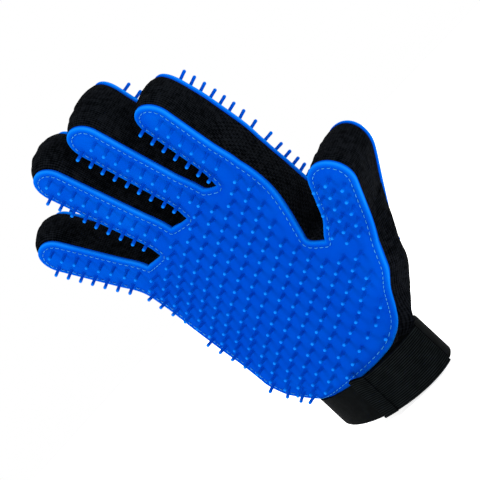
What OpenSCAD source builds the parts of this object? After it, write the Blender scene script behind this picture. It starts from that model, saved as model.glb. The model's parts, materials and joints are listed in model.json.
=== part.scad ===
// Grooming glove: two silicone pads with nubs, joined by black fabric sides,
// with an elastic cuff and a hook-and-loop wrist strap.
// Millimetres. Origin at the centre of the wrist opening; the cuff stands on z = 0,
// fingers point up, the palm faces -Y and the thumb +X.

/* [Fingers] */
// Width of the four finger pads
finger_w = 24; // [22:0.5:25]
// Depth of the ring finger, pad face to pad face; the others follow it
finger_d = 30; // [27:0.5:32]
// Index finger, root to tip
index_len = 56.5; // [50:0.5:63]
// Middle finger, root to tip
middle_len = 75; // [68:1:84]
// Ring finger, root to tip
ring_len = 78; // [68:1:84]
// Little finger, root to tip
pinky_len = 64; // [56:1:72]
// Forward lean of the fingers at rest, degrees
curl = 14; // [8:1:18]

/* [Thumb] */
// Width of the thumb pad
thumb_w = 26.5; // [24:0.5:30]
// Depth of the thumb, pad face to pad face
thumb_d = 32; // [28:0.5:34]
// Thumb, root to tip
thumb_len = 50; // [44:1:56]

/* [Pads] */
// Thickness of the silicone pads
pad_t = 2.4; // [1.8:0.1:2.8]
// Height of a nub above its pad
nub_h = 7.2; // [5:0.2:8]
// Radius of a nub at its foot
nub_r = 1.1; // [0.9:0.05:1.3]
// Distance between nubs
nub_pitch = 8.1; // [7.6:0.1:9]
// Thickness of the fabric sides
fabric_t = 1.5; // [1.2:0.1:1.8]

/* [Cuff and strap] */
// Half the cuff's width
cuff_a = 38; // [35:0.5:39]
// Half the cuff's depth
cuff_b = 21; // [19:0.5:22]
// Width of the wrist strap
strap_w = 27; // [22:0.5:27]
// Thickness of the wrist strap
strap_t = 1.8; // [1.4:0.1:2.2]

/* [Output] */
// Which node to draw

/* [Hidden] */

gap = 0.3;
blue = [0.0, 0.36, 0.85];
black = [0.06, 0.06, 0.07];
grey = [0.16, 0.16, 0.18];

// A finger: root centre on the front face (x, y, z), lean to the thumb side,
// twist about its own length, curl, width, depth, length, rows of nubs.
index = [44.5, -14.5, 152, 4.5, -11, curl, finger_w, finger_d - 4, index_len, 2];
middle = [15, -16.5, 154.3, -4.5, -9, curl, finger_w, finger_d + 4, middle_len, 2];
ring = [-20.2, -17, 152.5, -8.8, -9, curl, finger_w, finger_d, ring_len, 2];
pinky = [-58, -12.5, 145.3, -24.5, -10, curl, finger_w, finger_d - 3.5, pinky_len, 2];
thumb = [71, -15, 81, 37, 5, 9, thumb_w, thumb_d, thumb_len, 3];

// Heights of a finger's two hinges above its root, and their depth
hinge_low = 3;
hinge_in = 4;
function hinge_high(f) = hinge_low + 0.5 * (f[8] - hinge_low);
// Half the slits that let a finger bend, at the front and at the back
slit_front = 1.8;
slit_back = 2.9;

// Front and back faces of the palm: depth against width
front_curve = [[-82, -7], [-68, -11], [-52, -14.5], [-32, -17.5], [-12, -19.5],
               [10, -18], [33, -15.5], [58, -15], [82, -18], [110, -22]];
back_curve = [[-82, 6], [-68, 11], [-52, 15], [-28, 17.5], [-2, 17.5],
              [22, 16.5], [42, 13], [58, 11.5], [82, 10], [110, 8]];
// Edges of the palm seen from the front, starting on the little finger's side
heel_edge = [[-63.5, 126], [-61, 110], [-57, 90], [-53, 72], [-51, 54], [-49, 42],
             [-41, 32], [-22, 28.5], [4, 28], [26, 28], [36, 30], [48.5, 40], [60, 49.5],
             [73, 59.5]];
web_edge = [[50, 97], [51, 105], [54.5, 115], [58, 127], [58.5, 138]];
// Where the fabric sides run down to the cuff
pinky_side = [[-63.5, 126], [-61, 110], [-57, 90], [-53, 72], [-51, 54], [-48, 42],
              [-41, 33], [-36, 28]];
thumb_side = [[73, 59.5], [60, 49.5], [48.5, 40], [38, 28]];

cuff_h = 27.4;
strap_z = 0.6;

// ---- curves ----

function spline(p, q, r, s, t) =
  0.5 * (2 * q + (r - p) * t + (2 * p - 5 * q + 4 * r - s) * t * t
         + (3 * q - p - 3 * r + s) * t * t * t);
function at(c, i) = c[max(0, min(len(c) - 1, i))];
function smooth(c, n) = concat(
  [for (i = [0:len(c) - 2]) for (k = [0:n - 1])
    spline(at(c, i - 1), c[i], c[i + 1], at(c, i + 2), k / n)],
  [c[len(c) - 1]]);
function reversed(c) = [for (i = [len(c) - 1:-1:0]) c[i]];
// Points moved sideways by d, to the left of their direction
function side_of(c, d) = [for (i = [0:len(c) - 1])
  let (v = at(c, i + 1) - at(c, i - 1)) c[i] + d * [-v[1], v[0]] / norm(v)];
function ribbon(c, d, t) = concat(side_of(c, d), reversed(side_of(c, d + t)));
function height(c, x) = lookup(x, c);
function slope(c, x) = atan((height(c, x + 1) - height(c, x - 1)) / 2);

front_face = smooth(front_curve, 3);
back_face = smooth(back_curve, 3);

// A point of a finger's root line in the front view
function corner(f, dx, dz) = [f[0] + dx * cos(f[3]) + dz * sin(f[3]),
                              f[2] - dx * sin(f[3]) + dz * cos(f[3])];
function root_line(f, dz) = [corner(f, f[6] / 2, dz), corner(f, -f[6] / 2, dz)];
function palm_outline(dz) = concat(
  [corner(pinky, -pinky[6] / 2, dz)], smooth(heel_edge, 3), root_line(thumb, dz),
  smooth(web_edge, 3),
  root_line(index, dz), root_line(middle, dz), root_line(ring, dz),
  [corner(pinky, pinky[6] / 2, dz)]);

// ---- helpers ----

module front_view(depth = 90) {
  rotate([90, 0, 0]) linear_extrude(depth, center = true) children();
}

// A layer of the palm between two depths behind its front face
module front_layer(near, far) {
  linear_extrude(200) polygon(concat(side_of(front_face, near), reversed(side_of(front_face, far))));
}

module back_layer(near, far) {
  linear_extrude(200) polygon(concat(side_of(back_face, -near), reversed(side_of(back_face, -far))));
}

// The room between the two palm pads
module palm_room() {
  linear_extrude(200)
    polygon(concat(side_of(front_face, pad_t + gap), reversed(side_of(back_face, -pad_t - gap))));
}

module nub() {
  translate([0, 0, -1]) cylinder(h = nub_h + 1, r1 = nub_r, r2 = nub_r * 0.75, $fn = 8);
}

function left_of(p, a, b) = (b[0] - a[0]) * (p[1] - a[1]) - (b[1] - a[1]) * (p[0] - a[0]);
function crosses(p, a, b) = (a[1] > p[1]) != (b[1] > p[1])
  && p[0] < (b[0] - a[0]) * (p[1] - a[1]) / (b[1] - a[1]) + a[0];
function inside(p, c) = len([for (i = [0:len(c) - 1])
  if (crosses(p, c[i], c[(i + 1) % len(c)])) 1]) % 2 == 1;
function to_edge(p, a, b) =
  let (v = b - a, t = max(0, min(1, ((p - a) * v) / (v * v)))) norm(p - a - t * v);
function clear(p, c, d) = inside(p, c)
  && min([for (i = [0:len(c) - 1]) to_edge(p, c[i], c[(i + 1) % len(c)])]) > d;

// Nubs of the palm stand on a square grid turned a little from the fingers
grid_turn = 21.6;
function grid_point(i, j) = [20.3, 133.7] + nub_pitch
  * [i * cos(grid_turn) - j * sin(grid_turn), i * sin(grid_turn) + j * cos(grid_turn)];
palm_nubs = [for (i = [-14:12]) for (j = [-17:6])
  if (clear(grid_point(i, j), palm_outline(-2), 5.2)) grid_point(i, j)];

// The back pad has one more row, down its edge between the index finger and the thumb
web_line = [for (p = web_edge) [p[1], p[0] - 5.2]];
web_nubs = [for (z = [138:-7:103]) [lookup(z, web_line), z]];
back_nubs = concat(web_nubs, [for (p = palm_nubs)
  if (min([for (q = web_nubs) norm(p - q)]) > 5.6) p]);

module palm_pad(face, sign, nubs) {
  intersection() {
    front_view() polygon(palm_outline(1));
    if (sign < 0) front_layer(0, pad_t);
    else back_layer(0, pad_t);
  }
  for (p = nubs)
    translate([p[0], height(face, p[0]), p[1]])
      rotate([0, 0, slope(face, p[0])]) rotate([-90 * sign, 0, 0]) nub();
}

// Puts children, drawn with the root at the origin, where finger f is
module on_finger(f) {
  translate([f[0], f[1], f[2]]) rotate([0, f[3], 0]) rotate([0, 0, f[4]]) rotate([f[5], 0, 0])
    children();
}

module tip_outline(f, from, inset) {
  r = f[6] / 2 - inset;
  centre = f[8] - f[6] / 2;
  translate([-r, from]) square([2 * r, centre - from]);
  intersection() {
    translate([0, centre]) circle(r = r, $fn = 48);
    translate([-r, centre - 1]) square([2 * r, r + 1]);
  }
}

module finger_nubs(f, from, to) {
  rows = f[9];
  pitch = nub_pitch * 0.9;
  step = (f[6] - 12) / (rows - 1);
  for (k = [0:rows - 1]) {
    x = -f[6] / 2 + 6 + k * step;
    top = min(to, f[8] - f[6] / 2 + sqrt(pow(f[6] / 2 - 5, 2) - x * x));
    for (z = [from + (rows - 1 - k) % 2 * pitch / 2:pitch:top]) translate([x, z]) children();
  }
}

module flat_pad(f, from, to, tip, back) {
  on_finger(f) translate([0, back ? f[7] : pad_t, 0]) rotate([90, 0, 0]) {
    linear_extrude(pad_t)
      if (tip) tip_outline(f, from, 0);
      else translate([-f[6] / 2, from]) square([f[6], to - from]);
    finger_nubs(f, from + 4, tip ? f[8] : to - 3.5)
      translate([0, 0, back ? 0 : pad_t]) rotate([back ? 180 : 0, 0, 0]) nub();
  }
}

module base_pad(f, back) {
  slit = back ? slit_back : slit_front;
  flat_pad(f, hinge_low + slit, hinge_high(f) - slit, false, back);
}

module tip_pad(f, back) {
  slit = back ? slit_back : slit_front;
  flat_pad(f, hinge_high(f) + slit, 0, true, back);
}

// The fabric wall of a finger's lower half, on the thumb's side (+1) or the other
module base_wall(f, side) {
  x = side * (f[6] / 2 - gap - fabric_t / 2);
  low = hinge_low + slit_back;
  on_finger(f)
    translate([x - fabric_t / 2, pad_t + gap, low])
      cube([fabric_t, f[7] - 2 * (pad_t + gap), hinge_high(f) - slit_back - low]);
}

// The fabric that runs up one side of a finger, over its tip and down the other
module tip_wall(f) {
  from = hinge_high(f) + slit_back;
  on_finger(f) translate([0, f[7] - pad_t - gap, 0]) rotate([90, 0, 0])
    linear_extrude(f[7] - 2 * (pad_t + gap))
      difference() {
        tip_outline(f, from, gap);
        translate([0, -0.01]) tip_outline(f, from - 1, gap + fabric_t);
      }
}

module web(a, b) {
  p = corner(a, -a[6] / 2 + 2, -1.5);
  q = corner(b, b[6] / 2 - 2, -1.5);
  intersection() {
    front_view() polygon([p, q, q + [0, fabric_t], p + [0, fabric_t]]);
    palm_room();
  }
}

module side_wall(path) {
  intersection() {
    front_view() polygon(ribbon(path, gap, fabric_t));
    palm_room();
  }
}

fabric_outline = concat(
  [corner(pinky, -pinky[6] / 2, -1)], smooth(pinky_side, 3), smooth(reversed(thumb_side), 3),
  root_line(thumb, -1), smooth(web_edge, 3),
  root_line(index, -4), root_line(middle, -4), root_line(ring, -4),
  [corner(pinky, pinky[6] / 2, -4)]);

module lining(front) {
  intersection() {
    front_view() polygon(side_of(fabric_outline, fabric_t + 3 * gap));
    if (front) front_layer(pad_t + gap, pad_t + gap + 1);
    else back_layer(pad_t + gap, pad_t + gap + 1);
  }
}

// Points of an oval round the cuff, at a distance d outside it
function oval(d, a0, a1, n) = [for (i = [0:n]) let (a = a0 + (a1 - a0) * i / n)
  [(cuff_a + d) * cos(a), (cuff_b + d) * sin(a)]];

module oval_ring(near, far, low, high) {
  translate([0, 0, low]) linear_extrude(high - low) difference() {
    polygon(oval(far, 0, 355, 71));
    polygon(oval(near, 0, 355, 71));
  }
}

module oval_band(near, far, a0, a1, low, high) {
  n = ceil((a1 - a0) / 5);
  translate([0, 0, low]) linear_extrude(high - low)
    polygon(concat(oval(far, a0, a1, n), reversed(oval(near, a0, a1, n))));
}

under_far = gap + strap_t;
hook_near = under_far + gap;
strap_near = hook_near + 1 + gap;
strap_from = -81;
strap_to = -4;

// ---- nodes ----

module front_palm_pad() color(blue) palm_pad(front_face, -1, palm_nubs);
module back_palm_pad() color(blue) palm_pad(back_face, 1, back_nubs);
module front_palm_lining() color(grey) lining(true);
module back_palm_lining() color(grey) lining(false);
module pinky_side_gusset() color(black)
  side_wall(concat([corner(pinky, -pinky[6] / 2, 0)], smooth(pinky_side, 3)));
module thumb_side_gusset() color(black)
  side_wall(concat(smooth(reversed(thumb_side), 3), [corner(thumb, thumb[6] / 2, 0)]));
module index_thumb_gusset() color(black)
  side_wall(concat([corner(thumb, -thumb[6] / 2, 0)], smooth(web_edge, 3),
                   [corner(index, index[6] / 2, 0)]));
module index_middle_web() color(black) web(index, middle);
module middle_ring_web() color(black) web(middle, ring);
module ring_pinky_web() color(black) web(ring, pinky);
module cuff_band() color(black) oval_ring(-fabric_t, 0, 0, cuff_h);
module cuff_hem() color(grey) oval_ring(-fabric_t - gap - 1.2, -fabric_t - gap, 0, 10);
module under_strap() color(black)
  oval_band(gap, under_far, 2, 318, strap_z, strap_z + strap_w);
module wrist_strap() color(black)
  oval_band(strap_near, strap_near + strap_t, strap_from, strap_to, strap_z, strap_z + strap_w);
module hook_patch() color(grey)
  oval_band(hook_near, hook_near + 1, strap_from + 3, strap_from + 38,
            strap_z + 2, strap_z + strap_w - 2);
module strap_end_fold() color(black)
  oval_band(strap_near + strap_t + gap, strap_near + strap_t + gap + 1, strap_from, strap_from + 13,
            strap_z, strap_z + strap_w);

module index_front_base_pad() color(blue) base_pad(index, false);
module index_back_base_pad() color(blue) base_pad(index, true);
module index_outer_gusset() color(black) base_wall(index, 1);
module index_inner_gusset() color(black) base_wall(index, -1);
module index_front_tip_pad() color(blue) tip_pad(index, false);
module index_back_tip_pad() color(blue) tip_pad(index, true);
module index_tip_gusset() color(black) tip_wall(index);

module middle_front_base_pad() color(blue) base_pad(middle, false);
module middle_back_base_pad() color(blue) base_pad(middle, true);
module middle_outer_gusset() color(black) base_wall(middle, 1);
module middle_inner_gusset() color(black) base_wall(middle, -1);
module middle_front_tip_pad() color(blue) tip_pad(middle, false);
module middle_back_tip_pad() color(blue) tip_pad(middle, true);
module middle_tip_gusset() color(black) tip_wall(middle);

module ring_front_base_pad() color(blue) base_pad(ring, false);
module ring_back_base_pad() color(blue) base_pad(ring, true);
module ring_outer_gusset() color(black) base_wall(ring, 1);
module ring_inner_gusset() color(black) base_wall(ring, -1);
module ring_front_tip_pad() color(blue) tip_pad(ring, false);
module ring_back_tip_pad() color(blue) tip_pad(ring, true);
module ring_tip_gusset() color(black) tip_wall(ring);

module pinky_front_base_pad() color(blue) base_pad(pinky, false);
module pinky_back_base_pad() color(blue) base_pad(pinky, true);
module pinky_outer_gusset() color(black) base_wall(pinky, 1);
module pinky_inner_gusset() color(black) base_wall(pinky, -1);
module pinky_front_tip_pad() color(blue) tip_pad(pinky, false);
module pinky_back_tip_pad() color(blue) tip_pad(pinky, true);
module pinky_tip_gusset() color(black) tip_wall(pinky);

module thumb_front_base_pad() color(blue) base_pad(thumb, false);
module thumb_back_base_pad() color(blue) base_pad(thumb, true);
module thumb_outer_gusset() color(black) base_wall(thumb, 1);
module thumb_inner_gusset() color(black) base_wall(thumb, -1);
module thumb_front_tip_pad() color(blue) tip_pad(thumb, false);
module thumb_back_tip_pad() color(blue) tip_pad(thumb, true);
module thumb_tip_gusset() color(black) tip_wall(thumb);

front_palm_pad();
back_palm_pad();
front_palm_lining();
back_palm_lining();
pinky_side_gusset();
thumb_side_gusset();
index_thumb_gusset();
index_middle_web();
middle_ring_web();
ring_pinky_web();
cuff_band();
cuff_hem();
under_strap();
wrist_strap();
hook_patch();
strap_end_fold();
index_front_base_pad();
index_back_base_pad();
index_outer_gusset();
index_inner_gusset();
index_front_tip_pad();
index_back_tip_pad();
index_tip_gusset();
middle_front_base_pad();
middle_back_base_pad();
middle_outer_gusset();
middle_inner_gusset();
middle_front_tip_pad();
middle_back_tip_pad();
middle_tip_gusset();
ring_front_base_pad();
ring_back_base_pad();
ring_outer_gusset();
ring_inner_gusset();
ring_front_tip_pad();
ring_back_tip_pad();
ring_tip_gusset();
pinky_front_base_pad();
pinky_back_base_pad();
pinky_outer_gusset();
pinky_inner_gusset();
pinky_front_tip_pad();
pinky_back_tip_pad();
pinky_tip_gusset();
thumb_front_base_pad();
thumb_back_base_pad();
thumb_outer_gusset();
thumb_inner_gusset();
thumb_front_tip_pad();
thumb_back_tip_pad();
thumb_tip_gusset();
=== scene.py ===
import json
import math

import bpy
import numpy as np
from mathutils import Matrix, Vector, kdtree, noise
from mathutils.geometry import delaunay_2d_cdt


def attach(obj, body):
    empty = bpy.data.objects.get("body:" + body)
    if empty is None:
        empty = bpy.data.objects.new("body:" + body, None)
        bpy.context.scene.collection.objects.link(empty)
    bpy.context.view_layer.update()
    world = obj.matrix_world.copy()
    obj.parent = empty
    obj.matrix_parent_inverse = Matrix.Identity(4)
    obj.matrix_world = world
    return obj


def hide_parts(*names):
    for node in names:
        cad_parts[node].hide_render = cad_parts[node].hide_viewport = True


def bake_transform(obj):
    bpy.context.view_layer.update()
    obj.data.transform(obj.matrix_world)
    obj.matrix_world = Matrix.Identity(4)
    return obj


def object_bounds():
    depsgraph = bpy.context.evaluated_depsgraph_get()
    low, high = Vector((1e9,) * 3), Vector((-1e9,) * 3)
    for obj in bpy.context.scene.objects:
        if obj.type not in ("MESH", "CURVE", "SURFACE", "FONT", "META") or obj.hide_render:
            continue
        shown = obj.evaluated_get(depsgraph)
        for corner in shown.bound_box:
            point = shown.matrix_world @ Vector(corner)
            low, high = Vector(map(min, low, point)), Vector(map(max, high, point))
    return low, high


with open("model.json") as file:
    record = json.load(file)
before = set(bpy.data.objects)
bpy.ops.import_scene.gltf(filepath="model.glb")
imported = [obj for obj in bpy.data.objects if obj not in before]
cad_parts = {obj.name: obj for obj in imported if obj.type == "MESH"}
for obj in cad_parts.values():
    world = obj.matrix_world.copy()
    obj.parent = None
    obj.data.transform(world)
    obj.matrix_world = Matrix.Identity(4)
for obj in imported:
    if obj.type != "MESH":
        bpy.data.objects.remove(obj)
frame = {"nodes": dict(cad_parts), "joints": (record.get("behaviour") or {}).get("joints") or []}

cad_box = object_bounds()

# The glove is built in millimetres, in the frame of the CAD part, and scaled to metres
# when a mesh is made.
MM = 0.001

# ---- sizes ----

PAD_T = 2.4             # thickness of the silicone pads
PAD_UNEVEN = 0.22       # their faces rise and sink by this much
UNEVEN_SIZE = 14        # over about this distance
FABRIC_T = 1.1          # thickness of the black fabric
HINGE_LOW = 3           # height of a finger's root hinge above its root line
HINGE_IN = 4            # depth of both hinges behind the pad's front face
EDGE_R = 0.95           # rounding of a pad's edge
STITCH_IN = 3.2         # the stitch line runs this far inside a pad's edge
# A pad has rings of points at these distances from its edge
RINGS = [0, 0.22, 0.55, EDGE_R, 1.8, 2.6, STITCH_IN, 3.55]
SEAM_DEPTH = 0.38       # the seam sinks the face by this much
SEAM_HALF = 0.5         # over this distance either way
STITCH_PITCH = 3.3      # distance between stitches
STITCH_R = 0.19         # radius of the thread
THREAD_GAP = 0.5        # a stitch stops this far short of the next hole
NUB_H = 7.2             # height of a nub
NUB_LEAN = 0.035        # a nub leans by up to this slope
NUB_FOOT = 1.35         # radius of the fillet round a nub's foot
ROW_PITCH = 7.2         # distance between a finger's nubs along it
INDEX_PITCH = 6.0       # closer on the index finger's back
ROW_IN = [6, 5]         # rows of nubs run this far inside a finger's edge, on the front and the back
THUMB_ROW_IN = 9.5      # and on the thumb's back
NUB_APART = 4.6         # a finger's nub stands at least this far from the palm's
NUB_PITCH = 8.1         # the palm's nubs stand on a square grid of this pitch
GRID_TURN = math.radians(21.6)
GRID_AT = (20.3, 133.7)  # one nub of the palm's grid stands here
NUB_FROM_EDGE = 4.95    # the palm's nubs keep this far from the pad's edge
NUB_FROM_ROOT = 2.2     # and from a digit's root line
WEB_ROW = (148, 100)    # heights of the back pad's extra row of nubs
WEB_PITCH = 6.2         # distance between them
WEB_CLEAR = 5.6         # the grid's nubs keep this far from them
NUB_FROM_SIDE = 8       # and this far from the edge between the thumb and the cuff
PALM_MIDDLE = (5, 85)   # painted light: the silicone is painted lighter away from here, towards the fingertips, where more light falls
PAINTED_FINGER_LIGHT = 0.15             # by this much
FINGER_LIGHT_FROM = 62          # from this distance
FINGER_LIGHT_OVER = 42          # over this one
CUFF_A = 38             # half axes of the oval cuff
CUFF_B = 21
CUFF_TUCK = 3           # the oval is drawn in by this much at the little finger's side
CUFF_TOP = 27.4
STRAP_Z = 0.6
STRAP_W = 27
HEEL_RISE = 32          # above the cuff, the oval turns into the hand over this height
BEND_HALF = 9.5         # a digit's middle joint bends over this distance either way
ROOT_FROM = -12         # a digit leaves the palm's surface from here to here along its length
ROOT_TO = 16
ROOT_SPREAD = 5         # and draws the palm beside it along, over this width

# Depth of the palm's front and back faces against width
FRONT_CURVE = [(-82, -7), (-68, -11), (-52, -14.5), (-32, -17.5), (-12, -19.5),
               (10, -18), (33, -15.5), (58, -15), (82, -18), (110, -22)]
BACK_CURVE = [(-82, 6), (-68, 11), (-52, 15), (-28, 17.5), (-2, 17.5),
              (22, 16.5), (42, 15.5), (50, 14.2), (58, 10.8), (82, 2), (110, 0)]
# Edges of the palm's pattern, counter-clockwise seen from the front
HEEL_EDGE = [(-63.5, 126), (-61, 110), (-57, 90), (-53, 72), (-51, 54), (-50.5, 42),
             (-42, 31), (-22, 28), (4, 27.5), (26, 27.5), (36, 30), (48.5, 40), (60, 49.5), (73, 59.5)]
WEB_EDGE = [(48.6, 97.5), (50.2, 104), (54.5, 115), (58, 127), (58.5, 138)]
PINKY_SIDE = [(-63.5, 126), (-61, 110), (-57, 90), (-53, 72), (-51, 54), (-48, 42), (-41, 33), (-36, 28)]
THUMB_SIDE = [(38, 28), (48.5, 40), (60, 49.5), (73, 59.5)]
LINING_FEET = [(-33, 24), (36, 24)]     # the linings reach down into the cuff to here
CROWN = [0.9, 2.4]      # rise of a digit's front and back faces along its middle
# How far a back pad rises towards its tip
TIP_LIFT = {"index": -2.2, "middle": 2.2, "ring": 1.8, "thumb": 1.6}
BACK_TUCK = {"thumb": 6.5}   # the thumb's back pad turns in towards its root, on the outer side
FLARE = {"thumb": 4.2}       # the thumb's root is this much wider on the inner side
WEB_AT = (52, 101)           # round its crotch beside the thumb, the back pad is drawn
WEB_DRAW = (4, 3, 6)         # by this much
WEB_SPREAD = 19              # over about this distance
CROTCH_DROP = 1.6       # a crotch between two fingers is cut this much lower at one end

EDGE_STEP = 1.5         # distance between the points of an edge

DIGITS = ["index", "middle", "ring", "pinky", "thumb"]


# ---- small maths ----

def smoothstep(t):
    t = np.clip(t, 0, 1)
    return t * t * (3 - 2 * t)


def spline(points, steps):
    """A Catmull-Rom curve through points, with steps samples to each span."""
    p = np.array(points, float)
    ends = [2 * p[0] - p[1], *p, 2 * p[-1] - p[-2]]
    out = []
    for i in range(1, len(ends) - 2):
        a, b, c, d = ends[i - 1:i + 3]
        for t in np.arange(steps) / steps:
            out.append(0.5 * (2 * b + (c - a) * t + (2 * a - 5 * b + 4 * c - d) * t ** 2
                              + (3 * b - a - 3 * c + d) * t ** 3))
    return np.array([*out, p[-1]])


def resample(path, step):
    """Points at about step apart along path, its ends kept."""
    path = np.asarray(path, float)
    along = np.concatenate([[0], np.cumsum(np.linalg.norm(np.diff(path, axis=0), axis=1))])
    n = max(1, round(along[-1] / step))
    at = np.linspace(0, along[-1], n + 1)
    return np.stack([np.interp(at, along, path[:, k]) for k in range(path.shape[1])], axis=1)


def left(v):
    return np.array([-v[1], v[0]])


def unit(v):
    v = np.asarray(v, float)
    return v / np.maximum(np.linalg.norm(v, axis=-1, keepdims=True), 1e-12)


def to_segments(points, segments):
    """Distance from each point to the nearest of the segments."""
    a, b = segments[:, 0], segments[:, 1]
    ab = b - a
    best = np.full(len(points), 1e9)
    for k in range(0, len(a), 200):
        ak, abk = a[k:k + 200], ab[k:k + 200]
        ap = points[:, None] - ak[None]
        t = np.clip((ap * abk).sum(2) / np.maximum((abk * abk).sum(1), 1e-12), 0, 1)
        best = np.minimum(best, np.linalg.norm(ap - t[..., None] * abk, axis=2).min(1))
    return best


def inside(points, loop):
    """Which points are in the closed loop."""
    a, b = loop, np.roll(loop, -1, axis=0)
    odd = np.zeros(len(points), bool)
    for (ax, ay), (bx, by) in zip(a, b):
        if ay == by:
            continue
        over = (ay > points[:, 1]) != (by > points[:, 1])
        odd ^= over & (points[:, 0] < (bx - ax) * (points[:, 1] - ay) / (by - ay) + ax)
    return odd


def ripple(points, size, seed=0.0, octaves=3):
    """Smooth noise from -1 to 1 at each point, with features of about that size."""
    shift = Vector((seed, seed * 1.7, -seed))
    out = np.empty(len(points))
    for i, p in enumerate(points):
        v = Vector(p) / size + shift
        out[i] = sum(noise.noise(v * 2 ** k) / 2 ** k for k in range(octaves))
    return out


# ---- the shape of the hand ----

front_line = spline(FRONT_CURVE, 12)
back_line = spline(BACK_CURVE, 12)


def hand_point(p, back):
    """A point of the palm's smooth face over pattern point p, drawn in to the oval cuff at the heel."""
    x, z = p[:, 0], p[:, 1]
    line = back_line if back else front_line
    hand = np.interp(x, line[:, 0], line[:, 1])
    room = 1 - (x / CUFF_A) ** 2
    cuff = (1 if back else -1) * (CUFF_B + 0.4) * np.sqrt((room + np.sqrt(room ** 2 + 0.03)) / 2)
    rise = smoothstep((z - CUFF_TOP) / HEEL_RISE)
    out = np.stack([x, cuff * (1 - rise) + hand * rise, z], axis=1)
    if back:
        near = np.exp(-((p - WEB_AT) ** 2).sum(1) / WEB_SPREAD ** 2)
        out = out + near[:, None] * np.array(WEB_DRAW)
    return out


def palm_point(p, back):
    """A point of the palm's face, which turns towards each digit's own face near its root."""
    out = hand_point(p, back)
    for d in digits.values():
        q = d.from_pattern(p)
        beside = np.abs(q[:, :1] + d.flare / 2) - (d.w + d.flare) / 2
        near = d.away(q) * (1 - smoothstep(beside / ROOT_SPREAD))
        out = out + near * (d.own_point(q, back) - out)
    return out


def with_normal(point_of, p, back):
    """Points of a face over pattern points p, and its outward normals there."""
    h = 0.4
    dx, dz = np.array([h, 0]), np.array([0, h])
    across = point_of(p + dx) - point_of(p - dx)
    along = point_of(p + dz) - point_of(p - dz)
    return point_of(p), unit(np.cross(across, along)) * (-1 if back else 1)


class Digit:
    """A finger or thumb, placed by its two joints and measured on its CAD nodes."""

    def __init__(self, name):
        joints = {j["name"]: j for j in frame["joints"]}
        low = np.array(joints[f"{name}_root_bend"]["pos_m"]) / MM
        high = np.array(joints[f"{name}_middle_bend"]["pos_m"]) / MM
        self.name = name
        self.x = unit(joints[f"{name}_root_bend"]["axis"])
        self.z = unit(high - low)
        self.y = np.cross(self.z, self.x)
        self.root = low - HINGE_LOW * self.z - HINGE_IN * self.y
        self.lean = math.atan2(-self.x[2], self.x[0])
        self.bend_at = HINGE_LOW + np.linalg.norm(high - low)
        pad = self.local(f"{name}_front_tip_pad")
        self.w = 2 * np.abs(pad[:, 0]).max()
        self.length = pad[:, 2].max()
        self.depth = self.local(f"{name}_tip_gusset")[:, 1].max() + PAD_T + 0.3
        self.split = self.bend_at - BEND_HALF
        self.flare = FLARE.get(name, 0.0)

    def local(self, node):
        """Vertices of a CAD node in the digit's own axes."""
        co = np.array([v.co for v in frame["nodes"][node].data.vertices]) / MM - self.root
        return co @ np.stack([self.x, self.y, self.z], axis=1)

    def to_pattern(self, q):
        c, s = math.cos(self.lean), math.sin(self.lean)
        x, z = q[:, 0], q[:, 1]
        return np.stack([self.root[0] + x * c + z * s, self.root[2] - x * s + z * c], axis=1)

    def from_pattern(self, p):
        c, s = math.cos(self.lean), math.sin(self.lean)
        x, z = p[:, 0] - self.root[0], p[:, 1] - self.root[2]
        return np.stack([x * c - z * s, x * s + z * c], axis=1)

    def away(self, q):
        return smoothstep((q[:, 1:] - ROOT_FROM) / (ROOT_TO - ROOT_FROM))

    def own_point(self, q, back):
        """A point of the digit's own straight face, a little crowned across."""
        x, z = q[:, :1], q[:, 1:]
        crown = CROWN[back] * (1 - np.minimum((2 * x / self.w) ** 2, 1.2)) - 0.5
        far = self.depth + crown + TIP_LIFT.get(self.name, 0) * smoothstep(2 * z / self.length - 1)
        tuck = BACK_TUCK.get(self.name, 0) * smoothstep(x / self.w + 0.5)
        far = far - tuck * (1 - smoothstep((z / self.length - 0.15) / 0.6))
        return self.root + x * self.x + z * self.z + (far if back else -crown) * self.y

    def point(self, q, back):
        """A point of the digit's face over its own pattern point q, leaving the palm at the root."""
        palm = hand_point(self.to_pattern(q), back)
        return palm + self.away(q) * (self.own_point(q, back) - palm)


digits = {name: Digit(name) for name in DIGITS}


# ---- the pattern of a pad ----

def corner(d, side):
    return d.to_pattern(np.array([[side * d.w / 2 - (d.flare if side < 0 else 0), 0.0]]))[0]


def below(d):
    """The lower end of a crotch, under a finger's edge on the little finger's side."""
    return d.to_pattern(np.array([[-d.w / 2 + 0.3, -CROTCH_DROP]]))[0]


def edge_dir(d, side):
    """Direction of the pad's edge up the digit (+1) or down it (-1), in the palm's pattern."""
    up = np.array([math.sin(d.lean), math.cos(d.lean)])
    return up * side


def palm_edges():
    """The palm's real edges: (points, direction before, direction after)."""
    index, middle, ring, pinky, thumb = (digits[n] for n in DIGITS)
    runs = [
        (pinky, spline([corner(pinky, -1), *HEEL_EDGE, corner(thumb, 1)], 8), thumb),
        (thumb, spline([corner(thumb, -1), *WEB_EDGE, corner(index, 1)], 8), index),
        (index, [corner(index, -1), below(index), corner(middle, 1)], middle),
        (middle, [corner(middle, -1), below(middle), corner(ring, 1)], ring),
        (ring, [corner(ring, -1), below(ring), corner(pinky, 1)], pinky),
    ]
    return [(resample(run, EDGE_STEP), edge_dir(a, -1), edge_dir(b, 1)) for a, run, b in runs]


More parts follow.
